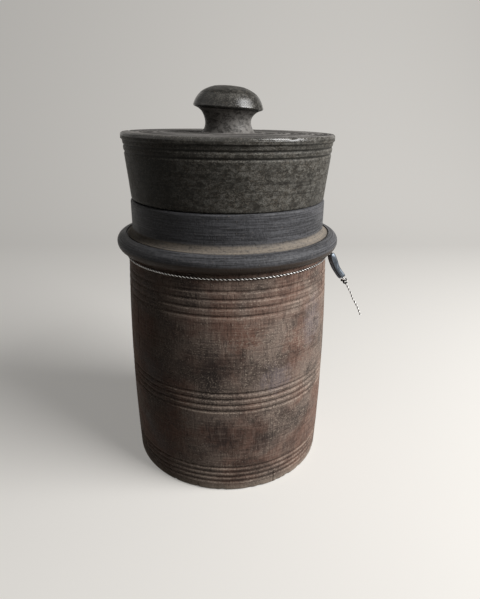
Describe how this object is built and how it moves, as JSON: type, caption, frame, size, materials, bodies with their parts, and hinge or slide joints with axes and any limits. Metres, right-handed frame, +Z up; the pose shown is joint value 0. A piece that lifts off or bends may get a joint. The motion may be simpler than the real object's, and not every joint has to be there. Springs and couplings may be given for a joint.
{
  "type": "wooden lidded jar",
  "caption": "Turned wooden storage jar with a beaded collar, grooved bands, a lift-off lid with a mushroom knob, and a wire seal tied under the collar.",
  "frame": {"origin": "centre of the foot, on the surface that the jar stands on", "axes": "+Z up along the turning axis; the side seen in the picture faces -Y, and the seal hangs near +X"},
  "size_m": [0.1737, 0.1538, 0.2642],
  "materials": {
    "vessel_wood": "old worn varnish, reddish brown",
    "lid_wood": "old dark patina, dusty on top",
    "knob_wood": "old dark patina, rubbed glossy",
    "seal_wire": "bright twisted strands",
    "seal_sleeve": "dark glossy crimped metal"
  },
  "bodies": {
    "jar": {"vessel": "vessel_wood"},
    "lid_and_knob": {"lid": "lid_wood", "knob": "knob_wood"},
    "seal": {"seal_wire_loop": "seal_wire", "seal_wire_tail": "seal_wire", "seal_sleeve": "seal_sleeve"}
  },
  "joints": [
    {"name": "lid_lift", "type": "slide", "parent": "jar", "child": "lid_and_knob", "axis": [0, 0, 1], "range_m": [0, 0.12]},
    {"name": "seal_turn", "type": "hinge", "parent": "jar", "child": "seal", "pos_m": [0, 0, 0.1565], "axis": [0, 0, 1], "continuous": true}
  ]
}
